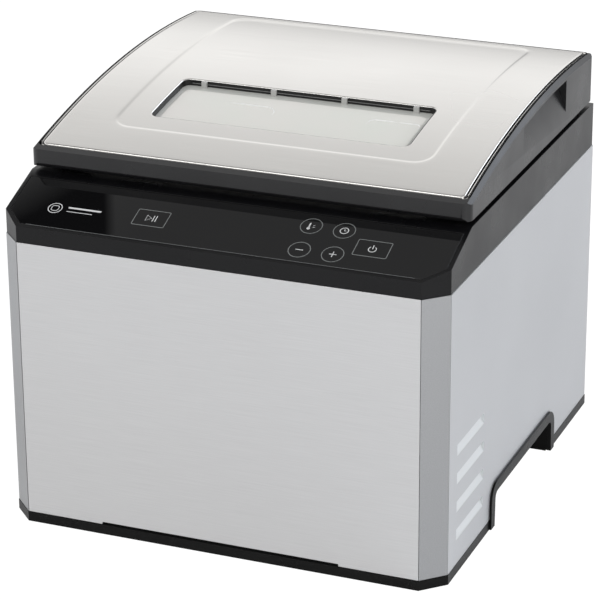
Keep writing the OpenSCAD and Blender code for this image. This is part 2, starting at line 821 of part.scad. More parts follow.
module lid_frame() {
    top_r = lid_radius - rim_drop;
    color("#2b2c2e") difference() {
        intersection() {
            round_block(-lid_half, lid_front, lid_half, lid_rear, lid_corner, lid_low, crest_z + 5);
            lid_ring([[300, -lid_half], [top_r - bevel_drop, -lid_half], [top_r, -lid_half + bevel_in],
                      [top_r, lid_half - bevel_in], [top_r - bevel_drop, lid_half], [300, lid_half]]);
            lid_side_shape();
        }
        difference() {
            intersection() {
                round_block(-lid_half + shell_in, lid_front + shell_in + 1, lid_half - shell_in,
                    lid_rear - shell_in, lid_corner - shell_in, lid_low - 1, crest_z);
                lid_shell(300, lid_radius - cover_t - cover_turn - deck_t, lid_half);
            }
            mirrored_x() grip_block();
        }
        intersection() {
            cover_plan(-groove, lid_low + 5, crest_z + 10);
            lid_shell(lid_radius - cover_t - 0.1, lid_radius + 10, lid_half);
        }
        intersection() {
            difference() {
                cover_plan(-groove, lid_low + 5, crest_z + 10);
                cover_plan(cover_t + 0.3, lid_low + 4, crest_z + 11);
            }
            lid_shell(lid_radius - cover_turn - 0.4, lid_radius + 10, lid_half);
        }
        window_cut(seal_w + fit / 2);
        mirrored_x() grip_cut();
    }
}

flange_w = 2.1;                 // flange of the cover outside its pressed groove
pressed_w = 0.8;
pressed_drop = 0.5;

// Groove pressed in the cover along its sides and rear.
module cover_groove() {
    outer = cover_half - flange_w;
    back = cover_rear - flange_w;
    intersection() {
        difference() {
            round_block(-outer, cover_front - 20, outer, back, cover_corner, lid_low, crest_z + 10);
            round_block(-outer + pressed_w, cover_front - 21, outer - pressed_w, back - pressed_w,
                cover_corner - pressed_w, lid_low - 1, crest_z + 11);
        }
        lid_shell(lid_radius - pressed_drop, lid_radius + 1, lid_half);
    }
}

field_half = cover_half - 38.9; // wide field pressed down round the window
field_front = lid_front + 38.5;
field_rear = lid_rear - 13;
field_drop = 0.4;

module lid_cover() {
    color("#dedbd6") difference() {
        union() {
            intersection() {
                cover_plan(0, lid_low, crest_z + 10);
                lid_shell(lid_radius - cover_t, lid_radius, lid_half);
            }
            intersection() {
                difference() {
                    cover_plan(0, lid_low, crest_z + 10);
                    cover_plan(cover_t, lid_low - 1, crest_z + 11);
                }
                lid_shell(lid_radius - cover_turn, lid_radius - 0.3, lid_half);
            }
        }
        intersection() {
            round_block(-field_half, field_front, field_half, field_rear, 15, lid_low, crest_z + 10);
            lid_shell(lid_radius - field_drop, lid_radius + 1, lid_half);
        }
        window_cut(0);
        cover_groove();
    }
}

seal_w = 3;                     // wall of the window seal
pane_drop = 5.2;                // top of the pane below the steel
pane_t = 3;
pane_low_r = lid_radius - pane_drop - pane_t;

// Rubber channel: it hangs below the cover and holds the pane in a slot.
module window_seal() {
    color("#1b1d1e") difference() {
        intersection() {
            window_cut(seal_w);
            lid_shell(pane_low_r - 2, lid_radius - cover_t - 0.1, lid_half);
        }
        difference() {
            window_cut(-0.6);
            lid_shell(pane_low_r - 0.05, pane_low_r + pane_t + 0.05, lid_half);
        }
        intersection() {
            window_cut(seal_w - 1.2);
            lid_shell(pane_low_r - 0.05, pane_low_r + pane_t + 0.05, lid_half);
        }
    }
}

module lid_window() {
    color("#cfe0dc", 0.5) intersection() {
        window_cut(seal_w - 1.4);
        lid_shell(pane_low_r, pane_low_r + pane_t, lid_half);
    }
}

clip_places = [-82, -27.3, 27.3, 82];

// Light clips that hook the seal's rear wall to the cover's edge.
module window_clips() {
    color("#d8d8d2") for (x = clip_places) intersection() {
        translate([x - 2, window_rear - 2.6, lid_low]) cube([4, 2, 60]);
        lid_shell(lid_radius - pane_drop + 0.1, lid_radius - 0.9, lid_half);
    }
}

liner_low = lid_low + 0.6;
liner_t = 2.4;
skirt_gap = 3;                  // gap between the lid's skirt and the tank
skirt_drop = 7;
pane_half = 112;
pane_front = -68;
pane_rear = 20;

// Inner pan that closes the underside and dips into the tank's mouth.
module lid_liner() {
    color("#3a3b3d") difference() {
        union() {
            round_block(-lid_half + shell_in + fit, lid_front + shell_in + 1 + fit, lid_half - shell_in - fit,
                lid_rear - shell_in - fit, lid_corner - shell_in, liner_low, liner_low + liner_t);
            difference() {
                tank_shape(-skirt_gap, collar_top - skirt_drop, liner_low + eps);
                tank_shape(-skirt_gap - 2, collar_top - skirt_drop - 1, liner_low + 1);
            }
        }
        round_block(-pane_half + 3, pane_front + 3, pane_half - 3, pane_rear - 3, 5,
            liner_low - 1, liner_low + 9);
        round_block(-pane_half - fit, pane_front - fit, pane_half + fit, pane_rear + fit, 8,
            liner_low + liner_t - 1.2, liner_low + 9);
        for (p = lid_screw_places) rod_z(liner_low - 5, liner_low + 9, p.x, p.y, screw_r + run_fit);
    }
}

module lid_inner_pane() {
    color("#dfe9e6", 0.5)
        round_block(-pane_half, pane_front, pane_half, pane_rear, 8,
            liner_low + liner_t - 1.15, liner_low + liner_t + 1.2);
}

// Soft ring that rests just clear of the collar round the tank's mouth.
module lid_seal() {
    color("#b9bab5") difference() {
        tank_shape(9, collar_top + 0.3, liner_low - 0.02);
        tank_shape(4, collar_top - 1, liner_low + 1);
    }
}

lid_screw_places = [
    for (x = [-lid_half + 12, lid_half - 12]) for (y = [lid_front + 14, lid_rear - 10]) [x, y]
];

module lid_screws() {
    color("#a8a8a8") for (p = lid_screw_places) difference() {
        union() {
            rod_z(liner_low - 1.6, liner_low - 0.05, p.x, p.y, 3.6);
            rod_z(liner_low - 0.1, liner_low + liner_t + 5, p.x, p.y, screw_r);
        }
        translate([p.x - 2, p.y - 0.4, liner_low - 3]) cube([4, 0.8, 2.2]);
        translate([p.x - 0.4, p.y - 2, liner_low - 3]) cube([0.8, 4, 2.2]);
    }
}

base_tray();
rubber_feet();
left_hand_recess();
right_hand_recess();
front_panel();
left_corner_trim();
right_corner_trim();
left_side_panel();
right_side_panel();
rear_panel();
top_collar();
control_glass();
touch_board();
display_module();
power_board();
power_board_parts();
tank();
tank_gasket();
tank_insulation();
heater_plate();
heater_element();
temperature_probe();
thermal_cutout();
inlet_socket();
inlet_pins();
rear_panel_screws();
base_screws();
pump_housing();
pump_seal();
pump_strainer();
motor_case();
motor_stator();
pump_shaft();
pump_impeller();
motor_rotor();
rack_frame();
divider_1();
divider_2();
divider_3();
divider_4();
lid_frame();
lid_cover();
window_seal();
window_clips();
lid_window();
lid_liner();
lid_inner_pane();
lid_seal();
lid_screws();
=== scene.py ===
# Countertop sous vide water oven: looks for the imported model, in metres.
import math

import bmesh
import bpy
from mathutils import Matrix, Vector


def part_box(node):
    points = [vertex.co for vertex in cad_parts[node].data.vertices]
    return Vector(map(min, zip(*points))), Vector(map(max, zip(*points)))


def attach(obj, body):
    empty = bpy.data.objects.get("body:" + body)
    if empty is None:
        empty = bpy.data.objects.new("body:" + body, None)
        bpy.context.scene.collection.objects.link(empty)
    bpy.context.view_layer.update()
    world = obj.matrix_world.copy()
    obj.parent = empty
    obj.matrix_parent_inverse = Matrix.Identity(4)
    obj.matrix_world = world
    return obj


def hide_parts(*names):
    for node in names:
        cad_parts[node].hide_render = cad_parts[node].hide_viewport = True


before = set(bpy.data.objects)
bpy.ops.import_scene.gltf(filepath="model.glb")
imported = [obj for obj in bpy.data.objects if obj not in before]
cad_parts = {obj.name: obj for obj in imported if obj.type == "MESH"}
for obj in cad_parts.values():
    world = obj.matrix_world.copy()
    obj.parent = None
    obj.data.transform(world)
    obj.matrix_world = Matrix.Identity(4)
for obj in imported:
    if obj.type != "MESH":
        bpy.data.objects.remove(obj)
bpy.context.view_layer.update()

# ---------------------------------------------------------------- camera
# A long lens from the front right, a little above the lid, as a catalogue
# would show it.
camera_azimuth = math.radians(22.109)
camera_elevation = math.radians(22.076)
camera_roll = math.radians(-0.417)
camera_place = Vector((0.71584, -1.77784, 0.90712))
lens_mm = 168.18

camera_data = bpy.data.cameras.new("catalogue_camera")
camera_data.lens = lens_mm
camera_data.sensor_width = 36.0
camera_data.clip_start = 0.05
camera_data.clip_end = 50.0
camera = bpy.data.objects.new("catalogue_camera", camera_data)
bpy.context.scene.collection.objects.link(camera)
back_axis = Vector((
    math.sin(camera_azimuth) * math.cos(camera_elevation),
    -math.cos(camera_azimuth) * math.cos(camera_elevation),
    math.sin(camera_elevation),
))
level_right = (-back_axis).cross(Vector((0, 0, 1))).normalized()
level_up = level_right.cross(-back_axis)
right_axis = math.cos(camera_roll) * level_right + math.sin(camera_roll) * level_up
up_axis = math.cos(camera_roll) * level_up - math.sin(camera_roll) * level_right
turn = Matrix((right_axis, up_axis, back_axis)).transposed().to_4x4()
camera.matrix_world = Matrix.Translation(camera_place) @ turn
bpy.context.scene.camera = camera
bpy.context.scene.view_settings.view_transform = "Standard"

# ---------------------------------------------------------------- studio
# A white sweep with a dim band along the horizon, a dark flag high on the left,
# a lamp behind on the right, a soft key above, a weak side fill and a pale floor.
world = bpy.data.worlds.new("studio")
world.use_nodes = True
bpy.context.scene.world = world
sky = world.node_tree
sky.nodes.clear()


def sky_node(kind, **settings):
    node = sky.nodes.new(kind)
    for name, value in settings.items():
        setattr(node, name, value)
    return node


def sky_dot(direction):
    """How far the view ray leans towards a fixed direction."""
    product = sky_node("ShaderNodeVectorMath", operation="DOT_PRODUCT")
    sky.links.new(ray.outputs["Generated"], product.inputs[0])
    product.inputs[1].default_value = direction
    return product.outputs["Value"]


def sky_mask(value, low, high):
    """0 below low, 1 above high."""
    mask = sky_node("ShaderNodeMapRange")
    mask.inputs["From Min"].default_value = low
    mask.inputs["From Max"].default_value = high
    sky.links.new(value, mask.inputs["Value"])
    return mask.outputs["Result"]


ray = sky_node("ShaderNodeTexCoord")
rise = sky_dot((0, 0, 1))
fade = sky_node("ShaderNodeValToRGB")
fade.color_ramp.elements[0].color = (0.9, 0.9, 0.9, 1)
fade.color_ramp.elements[1].color = (0.42, 0.42, 0.42, 1)
sky_shades = (
    (0.47, 0.9), (0.50, 0.25), (0.54, 0.25), (0.59, 0.85), (0.63, 1.02),
    (0.68, 1.2), (0.74, 1.0), (0.80, 0.84), (0.875, 0.66), (0.91, 0.36),
)
for where, shade in sky_shades:
    stop = fade.color_ramp.elements.new(where)
    stop.color = (shade, shade, shade, 1)
sky.links.new(sky_mask(rise, -1.0, 1.0), fade.inputs["Fac"])

flag_edge = (0.9037, 0.2946, 0.3107)
flag_low = 0.795
beyond = sky_node("ShaderNodeMath", operation="MULTIPLY")
sky.links.new(sky_mask(sky_dot(tuple(-part for part in flag_edge)), 0.0, 0.004), beyond.inputs[0])
sky.links.new(sky_mask(rise, flag_low, flag_low + 0.01), beyond.inputs[1])
flagged = sky_node("ShaderNodeMix", data_type="RGBA")
flagged.inputs["B"].default_value = (0.02, 0.02, 0.02, 1)
sky.links.new(beyond.outputs["Value"], flagged.inputs["Factor"])
sky.links.new(fade.outputs["Color"], flagged.inputs["A"])

lamp_direction = (0.569, 0.683, 0.457)
lamp = sky_node("ShaderNodeMix", data_type="RGBA")
lamp.inputs["B"].default_value = (2.6, 2.75, 3.0, 1)
sky.links.new(sky_mask(sky_dot(lamp_direction), 0.935, 0.965), lamp.inputs["Factor"])
sky.links.new(flagged.outputs["Result"], lamp.inputs["A"])

lit = sky_node("ShaderNodeBackground")
sky.links.new(lamp.outputs["Result"], lit.inputs["Color"])
seen = sky_node("ShaderNodeBackground")
seen.inputs["Color"].default_value = (1, 1, 1, 1)
seen.inputs["Strength"].default_value = 1.1
path = sky_node("ShaderNodeLightPath")
choose = sky_node("ShaderNodeMixShader")
sky.links.new(path.outputs["Is Camera Ray"], choose.inputs["Fac"])
sky.links.new(lit.outputs["Background"], choose.inputs[1])
sky.links.new(seen.outputs["Background"], choose.inputs[2])
world_out = sky_node("ShaderNodeOutputWorld")
sky.links.new(choose.outputs[0], world_out.inputs["Surface"])

floor_mesh = bpy.data.meshes.new("studio_floor")
floor_builder = bmesh.new()
bmesh.ops.create_grid(floor_builder, x_segments=1, y_segments=1, size=8.0)
floor_builder.to_mesh(floor_mesh)
floor_builder.free()
floor = bpy.data.objects.new("studio_floor", floor_mesh)
bpy.context.scene.collection.objects.link(floor)
floor_material = bpy.data.materials.new("studio_floor")
floor_material.use_nodes = True
floor_tree = floor_material.node_tree
floor_shader = floor_tree.nodes["Principled BSDF"]
floor_shader.inputs["Base Color"].default_value = (0.82, 0.82, 0.82, 1)
floor_shader.inputs["Roughness"].default_value = 0.9
floor_shader.inputs["Specular IOR Level"].default_value = 0.1
floor_shader.inputs["Emission Color"].default_value = (1, 1, 1, 1)
floor_shader.inputs["Emission Strength"].default_value = 0.16
floor_glow = floor_tree.nodes.new("ShaderNodeEmission")
floor_glow.inputs["Strength"].default_value = 1.1
floor_path = floor_tree.nodes.new("ShaderNodeLightPath")
floor_share = floor_tree.nodes.new("ShaderNodeMath")
floor_share.operation = "MULTIPLY"
floor_share.inputs[1].default_value = 0.92
floor_mix = floor_tree.nodes.new("ShaderNodeMixShader")
floor_tree.links.new(floor_path.outputs["Is Camera Ray"], floor_share.inputs[0])
floor_tree.links.new(floor_share.outputs["Value"], floor_mix.inputs["Fac"])
floor_tree.links.new(floor_shader.outputs["BSDF"], floor_mix.inputs[1])
floor_tree.links.new(floor_glow.outputs["Emission"], floor_mix.inputs[2])
floor_tree.links.new(floor_mix.outputs[0], floor_tree.nodes["Material Output"].inputs["Surface"])
floor_mesh.materials.append(floor_material)

key_light = bpy.data.lights.new("key_softbox", "AREA")
key_light.shape = "RECTANGLE"
key_light.size = 1.8
key_light.size_y = 1.0
key_light.energy = 13.0
key = bpy.data.objects.new("key_softbox", key_light)
bpy.context.scene.collection.objects.link(key)
key.location = (-0.5, -1.7, 2.0)
key.rotation_euler = (Vector((0, 0, 0.15)) - key.location).to_track_quat("-Z", "Y").to_euler()

fill_light = bpy.data.lights.new("side_fill", "AREA")
fill_light.shape = "RECTANGLE"
fill_light.size = 0.5
fill_light.size_y = 0.5
fill_light.energy = 0.5
fill = bpy.data.objects.new("side_fill", fill_light)
bpy.context.scene.collection.objects.link(fill)
fill.location = (0.75, -0.55, 0.30)
fill.rotation_euler = (Vector((0.16, -0.1, 0.2)) - fill.location).to_track_quat("-Z", "Y").to_euler()

# ---------------------------------------------------------------- base
# Moulded black tray with a skirt; four rubber feet press into its underside
# and four screws come up into its corner posts.


def new_material(name):
    material = bpy.data.materials.new(name)
    material.use_nodes = True
    nodes = material.node_tree.nodes
    shader = nodes["Principled BSDF"]
    return material, material.node_tree, shader


def make_grain_group():
    """Fine moulded texture: a height, and a mask that varies slowly."""
    group = bpy.data.node_groups.new("moulded_grain", "ShaderNodeTree")
    group.interface.new_socket("Grain Scale", in_out="INPUT", socket_type="NodeSocketFloat")
    group.interface.new_socket("Cloud Scale", in_out="INPUT", socket_type="NodeSocketFloat")
    group.interface.new_socket("Height", in_out="OUTPUT", socket_type="NodeSocketFloat")
    group.interface.new_socket("Cloud", in_out="OUTPUT", socket_type="NodeSocketFloat")
    entry = group.nodes.new("NodeGroupInput")
    leave = group.nodes.new("NodeGroupOutput")
    place = group.nodes.new("ShaderNodeTexCoord")
    grain = group.nodes.new("ShaderNodeTexNoise")
    grain.inputs["Detail"].default_value = 3.0
    cloud = group.nodes.new("ShaderNodeTexNoise")
    cloud.inputs["Detail"].default_value = 2.0
    group.links.new(place.outputs["Object"], grain.inputs["Vector"])
    group.links.new(place.outputs["Object"], cloud.inputs["Vector"])
    group.links.new(entry.outputs["Grain Scale"], grain.inputs["Scale"])
    group.links.new(entry.outputs["Cloud Scale"], cloud.inputs["Scale"])
    group.links.new(grain.outputs["Fac"], leave.inputs["Height"])
    group.links.new(cloud.outputs["Fac"], leave.inputs["Cloud"])
    return group


grain_group = make_grain_group()


def ramp_between(tree, source, low, high):
    """Turns a 0 to 1 mask into a value between low and high."""
    span = tree.nodes.new("ShaderNodeMapRange")
    span.inputs["From Min"].default_value = 0.3
    span.inputs["From Max"].default_value = 0.7
    span.inputs["To Min"].default_value = low
    span.inputs["To Max"].default_value = high
    tree.links.new(source, span.inputs["Value"])
    return span.outputs["Result"]


def moulded(name, colour, shade, roughness, relief=0.00002, grain=1800.0, cloud=25.0, gloss=0.5):
    """Moulded plastic or rubber: two close colours, uneven gloss, fine grain."""
    material, tree, shader = new_material(name)
    source = tree.nodes.new("ShaderNodeGroup")
    source.node_tree = grain_group
    source.inputs["Grain Scale"].default_value = grain
    source.inputs["Cloud Scale"].default_value = cloud
    mix = tree.nodes.new("ShaderNodeMix")
    mix.data_type = "RGBA"
    mix.inputs["A"].default_value = (*colour, 1)
    mix.inputs["B"].default_value = (*shade, 1)
    tree.links.new(source.outputs["Cloud"], mix.inputs["Factor"])
    tree.links.new(mix.outputs["Result"], shader.inputs["Base Color"])
    rough = ramp_between(tree, source.outputs["Cloud"], roughness[0], roughness[1])
    tree.links.new(rough, shader.inputs["Roughness"])
    bump = tree.nodes.new("ShaderNodeBump")
    bump.inputs["Strength"].default_value = 0.6
    bump.inputs["Distance"].default_value = relief
    tree.links.new(source.outputs["Height"], bump.inputs["Height"])
    tree.links.new(bump.outputs["Normal"], shader.inputs["Normal"])
    shader.inputs["Specular IOR Level"].default_value = gloss
    return material


def dress(node, material):
    """Gives a CAD node its finished material."""
    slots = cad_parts[node].data.materials
    if len(slots) == 0:
        slots.append(material)
    for index in range(len(slots)):
        slots[index] = material


def edged_copy(node, name, body, material, edge, segments=3, angle=28.0):
    """The node's own shape with its sharp edges broken, as moulding or pressing leaves them."""
    builder = bmesh.new()
    builder.from_mesh(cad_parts[node].data)
    bmesh.ops.remove_doubles(builder, verts=builder.verts, dist=0.000002)
    bmesh.ops.dissolve_limit(
        builder, angle_limit=math.radians(0.3), verts=builder.verts, edges=builder.edges
    )
    mesh = bpy.data.meshes.new(name)
    builder.to_mesh(mesh)
    builder.free()
    mesh.materials.clear()
    mesh.materials.append(material)
    mesh.shade_smooth()
    mesh.set_sharp_from_angle(angle=math.radians(angle))
    piece = bpy.data.objects.new(name, mesh)
    bpy.context.scene.collection.objects.link(piece)
    broken = piece.modifiers.new("edge_break", "BEVEL")
    broken.width = edge
    broken.segments = segments
    broken.limit_method = "ANGLE"
    broken.angle_limit = math.radians(angle)
    broken.use_clamp_overlap = True
    weighted = piece.modifiers.new("even_normals", "WEIGHTED_NORMAL")
    weighted.keep_sharp = False
    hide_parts(node)
    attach(piece, body)
    return piece


skirt_plastic = moulded(
    "skirt_plastic", (0.003, 0.003, 0.003), (0.006, 0.006, 0.006), (0.24, 0.34), gloss=0.14
)
edged_copy("base_tray", "base_tray_moulding", "cabinet", skirt_plastic, 0.0005)
foot_rubber = moulded("foot_rubber", (0.020, 0.020, 0.020), (0.032, 0.031, 0.030), (0.7, 0.85), 0.00005)
dress("rubber_feet", foot_rubber)

# ---------------------------------------------------------------- hand recesses
# Black moulded pockets behind the side notches, with a bead that laps the
# painted sheet.
for side in ("left", "right"):
    edged_copy(side + "_hand_recess", side + "_hand_recess_moulding", "cabinet",
               skirt_plastic, 0.0014, 5)

# ---------------------------------------------------------------- front
# Brushed stainless front sheet between two brushed corner strips. The grain
# runs across.


def make_brushed_group():
    """Brushing along X: streaks, a slow cloud and the height of the scratches."""
    group = bpy.data.node_groups.new("brushed_streaks", "ShaderNodeTree")
    group.interface.new_socket("Along", in_out="INPUT", socket_type="NodeSocketFloat")
    group.interface.new_socket("Across", in_out="INPUT", socket_type="NodeSocketFloat")
    group.interface.new_socket("Cloud Scale", in_out="INPUT", socket_type="NodeSocketFloat")
    group.interface.new_socket("Streak", in_out="OUTPUT", socket_type="NodeSocketFloat")
    group.interface.new_socket("Cloud", in_out="OUTPUT", socket_type="NodeSocketFloat")
    entry = group.nodes.new("NodeGroupInput")
    leave = group.nodes.new("NodeGroupOutput")
    place = group.nodes.new("ShaderNodeTexCoord")
    stretch = group.nodes.new("ShaderNodeCombineXYZ")
    group.links.new(entry.outputs["Along"], stretch.inputs["X"])
    group.links.new(entry.outputs["Across"], stretch.inputs["Y"])
    group.links.new(entry.outputs["Across"], stretch.inputs["Z"])
    scaled = group.nodes.new("ShaderNodeVectorMath")
    scaled.operation = "MULTIPLY"
    group.links.new(place.outputs["Object"], scaled.inputs[0])
    group.links.new(stretch.outputs[0], scaled.inputs[1])
    streak = group.nodes.new("ShaderNodeTexNoise")
    streak.inputs["Scale"].default_value = 1.0
    streak.inputs["Detail"].default_value = 4.0
    streak.inputs["Roughness"].default_value = 0.65
    group.links.new(scaled.outputs[0], streak.inputs["Vector"])
    cloud = group.nodes.new("ShaderNodeTexNoise")
    cloud.inputs["Detail"].default_value = 2.0
    group.links.new(place.outputs["Object"], cloud.inputs["Vector"])
    group.links.new(entry.outputs["Cloud Scale"], cloud.inputs["Scale"])
    group.links.new(streak.outputs["Fac"], leave.inputs["Streak"])
    group.links.new(cloud.outputs["Fac"], leave.inputs["Cloud"])
    return group


brushed_group = make_brushed_group()


def brushed(name, colour, shade, roughness, along=25.0, across=1600.0, relief=0.00001, cloud=9.0):
    """Brushed metal: streaks of two tones, uneven roughness, fine scratches."""
    material, tree, shader = new_material(name)
    shader.inputs["Metallic"].default_value = 1.0
    source = tree.nodes.new("ShaderNodeGroup")
    source.node_tree = brushed_group
    source.inputs["Along"].default_value = along
    source.inputs["Across"].default_value = across
    source.inputs["Cloud Scale"].default_value = cloud
    mix = tree.nodes.new("ShaderNodeMix")
    mix.data_type = "RGBA"
    mix.inputs["A"].default_value = (*colour, 1)
    mix.inputs["B"].default_value = (*shade, 1)
    tree.links.new(ramp_between(tree, source.outputs["Streak"], 0.0, 1.0), mix.inputs["Factor"])
    tree.links.new(mix.outputs["Result"], shader.inputs["Base Color"])
    rough = ramp_between(tree, source.outputs["Cloud"], roughness[0], roughness[1])
    tree.links.new(rough, shader.inputs["Roughness"])
    bump = tree.nodes.new("ShaderNodeBump")
    bump.inputs["Strength"].default_value = 0.5
    bump.inputs["Distance"].default_value = relief
    tree.links.new(source.outputs["Streak"], bump.inputs["Height"])
    tree.links.new(bump.outputs["Normal"], shader.inputs["Normal"])
    return material


front_steel = brushed("front_steel", (0.66, 0.66, 0.665), (0.71, 0.71, 0.715), (0.36, 0.42))
edged_copy("front_panel", "front_panel_sheet", "cabinet", front_steel, 0.0004)
# The corner strips are the same brushed stainless as the front, given a darker colour: painted shade for
# their darker reflection.
corner_steel = brushed("corner_steel", (0.38, 0.385, 0.395), (0.44, 0.445, 0.455), (0.30, 0.38))
for side in ("left", "right"):
    edged_copy(side + "_corner_trim", side + "_corner_strip", "cabinet",
               corner_steel, 0.0002, angle=60.0)

# ---------------------------------------------------------------- sides and rear
# Painted steel sheets. Four louvres are pressed inwards near the front of each
# side, and the rear sheet is held by six screws.


def painted(name, colour, shade, pressed, roughness):
    """Metallic silver paint: fine flake, slight orange peel, and a painted highlight on the pressed
    slopes, where they catch more light.
    """
    material, tree, shader = new_material(name)
    shader.inputs["Metallic"].default_value = 0.75
    source = tree.nodes.new("ShaderNodeGroup")
    source.node_tree = grain_group
    source.inputs["Grain Scale"].default_value = 2600.0
    source.inputs["Cloud Scale"].default_value = 7.0
    mix = tree.nodes.new("ShaderNodeMix")
    mix.data_type = "RGBA"
    mix.inputs["A"].default_value = (*colour, 1)
    mix.inputs["B"].default_value = (*shade, 1)
    tree.links.new(ramp_between(tree, source.outputs["Cloud"], 0.0, 1.0), mix.inputs["Factor"])
    facing = tree.nodes.new("ShaderNodeNewGeometry")
    sideways = tree.nodes.new("ShaderNodeVectorMath")
    sideways.operation = "DOT_PRODUCT"
    sideways.inputs[1].default_value = (1, 0, 0)
    tree.links.new(facing.outputs["True Normal"], sideways.inputs[0])
    flat_face = tree.nodes.new("ShaderNodeMath")
    flat_face.operation = "ABSOLUTE"
    tree.links.new(sideways.outputs["Value"], flat_face.inputs[0])
    # Where the face turns from flat, the lighter pressed colour takes over: a painted highlight for the
    # light the louvre slopes catch.
    slope = tree.nodes.new("ShaderNodeMapRange")
    slope.inputs["From Min"].default_value = 0.9999
    slope.inputs["From Max"].default_value = 0.997
    tree.links.new(flat_face.outputs["Value"], slope.inputs["Value"])
    slope_highlight_mix = tree.nodes.new("ShaderNodeMix")
    slope_highlight_mix.data_type = "RGBA"
    slope_highlight_mix.inputs["B"].default_value = (*pressed, 1)
    tree.links.new(slope.outputs["Result"], slope_highlight_mix.inputs["Factor"])
    tree.links.new(mix.outputs["Result"], slope_highlight_mix.inputs["A"])
    tree.links.new(slope_highlight_mix.outputs["Result"], shader.inputs["Base Color"])
    rough = ramp_between(tree, source.outputs["Height"], roughness[0], roughness[1])
    tree.links.new(rough, shader.inputs["Roughness"])
    bump = tree.nodes.new("ShaderNodeBump")
    bump.inputs["Strength"].default_value = 0.3
    bump.inputs["Distance"].default_value = 0.00001
    tree.links.new(source.outputs["Height"], bump.inputs["Height"])
    tree.links.new(bump.outputs["Normal"], shader.inputs["Normal"])
    return material


# The lighter third colour is the painted highlight on the louvre slopes.
side_paint = painted(
    "side_paint", (0.60, 0.61, 0.63), (0.64, 0.65, 0.67), (0.80, 0.82, 0.83), (0.36, 0.46)
)
for side in ("left", "right"):
    edged_copy(side + "_side_panel", side + "_side_sheet", "cabinet",
               side_paint, 0.0004)
rear_paint = painted(
    "rear_paint", (0.45, 0.47, 0.50), (0.50, 0.52, 0.55), (0.50, 0.52, 0.55), (0.42, 0.52)
)
edged_copy("rear_panel", "rear_panel_sheet", "cabinet", rear_paint, 0.0002)
screw_zinc = brushed("screw_zinc", (0.52, 0.52, 0.52), (0.64, 0.64, 0.63), (0.25, 0.4), 400.0, 400.0)
dress("rear_panel_screws", screw_zinc)
dress("base_screws", screw_zinc)

# ---------------------------------------------------------------- mains inlet
# Black moulded appliance inlet with three brass pins, clipped into the rear
# sheet.
inlet_black = moulded("inlet_black", (0.010, 0.010, 0.011), (0.016, 0.016, 0.017), (0.3, 0.4))
edged_copy("inlet_socket", "inlet_socket_moulding", "cabinet", inlet_black, 0.0003)
pin_brass = brushed("pin_brass", (0.70, 0.55, 0.28), (0.80, 0.64, 0.34), (0.2, 0.3), 300.0, 300.0)
dress("inlet_pins", pin_brass)

# ---------------------------------------------------------------- collar
# Satin black collar moulding. Its sloping front holds the control glass.
black_plastic = moulded(
    "black_plastic", (0.003, 0.003, 0.0035), (0.005, 0.005, 0.006), (0.24, 0.34), gloss=0.26
)
edged_copy("top_collar", "top_collar_moulding", "cabinet", black_plastic, 0.0006)

# ---------------------------------------------------------------- control glass
# Black glass bonded into the slope, with touch keys printed on it: grey key
# outlines, white signs and a small mark of nested rings on the left.
control_black, glass_tree, glass_shader = new_material("control_black")
glass_shader.inputs["Base Color"].default_value = (0.004, 0.004, 0.0045, 1)
glass_haze = glass_tree.nodes.new("ShaderNodeGroup")
glass_haze.node_tree = grain_group
glass_haze.inputs["Grain Scale"].default_value = 900.0
glass_haze.inputs["Cloud Scale"].default_value = 14.0
glass_tree.links.new(
    ramp_between(glass_tree, glass_haze.outputs["Cloud"], 0.005, 0.015),
    glass_shader.inputs["Roughness"],
)
edged_copy("control_glass", "control_glass_plate", "cabinet", control_black, 0.0003)

# Slope frame: from the collar's front lip, u runs to the right and v up the slope.
half_depth = 0.1715
lip_height = 0.2276
collar_top = 0.2493
slope_angle = math.atan2(collar_top - lip_height, 0.058)
print_lift = 0.00008
legend_grey, grey_tree, grey_shader = new_material("legend_grey")
legend_white, white_tree, white_shader = new_material("legend_white")
for tree, shader, colour, faded in (
    (grey_tree, grey_shader, (0.24, 0.25, 0.25), (0.17, 0.18, 0.18)),
    (white_tree, white_shader, (0.85, 0.86, 0.87), (0.70, 0.71, 0.72)),
):
    ink = tree.nodes.new("ShaderNodeGroup")
    ink.node_tree = grain_group
    ink.inputs["Grain Scale"].default_value = 3000.0
    ink.inputs["Cloud Scale"].default_value = 60.0
    tone = tree.nodes.new("ShaderNodeMix")
    tone.data_type = "RGBA"
    tone.inputs["A"].default_value = (*colour, 1)
    tone.inputs["B"].default_value = (*faded, 1)
    tree.links.new(ink.outputs["Height"], tone.inputs["Factor"])
    tree.links.new(tone.outputs["Result"], shader.inputs["Base Color"])
    shader.inputs["Roughness"].default_value = 0.5


def slope_point(u, v, lift=print_lift):
    along = math.cos(slope_angle) * v - math.sin(slope_angle) * lift
    up = math.sin(slope_angle) * v + math.cos(slope_angle) * lift
    return Vector((u, -half_depth + along, lip_height + up))


def ink_path(builder, points, width, closed):
    """A printed line of even width along points (u, v) on the slope."""
    count = len(points)
    inner = []
    outer = []
    for index, (u, v) in enumerate(points):
        before = points[index - 1] if closed or index > 0 else points[index]
        after = points[(index + 1) % count] if closed or index < count - 1 else points[index]
        run = Vector((after[0] - before[0], after[1] - before[1])).normalized()
        side = Vector((-run.y, run.x)) * width / 2
        inner.append(builder.verts.new(slope_point(u - side.x, v - side.y)))
        outer.append(builder.verts.new(slope_point(u + side.x, v + side.y)))
    last = count if closed else count - 1
    for index in range(last):
        following = (index + 1) % count
        builder.faces.new((inner[index], inner[following], outer[following], outer[index]))


def ring_points(u, v, radius, start=0.0, sweep=360.0, steps=40):
    closed = sweep >= 360.0
    total = steps if closed else steps + 1
    angles = [math.radians(start + sweep * step / steps) for step in range(total)]
    return [(u + radius * math.cos(a), v + radius * math.sin(a)) for a in angles]


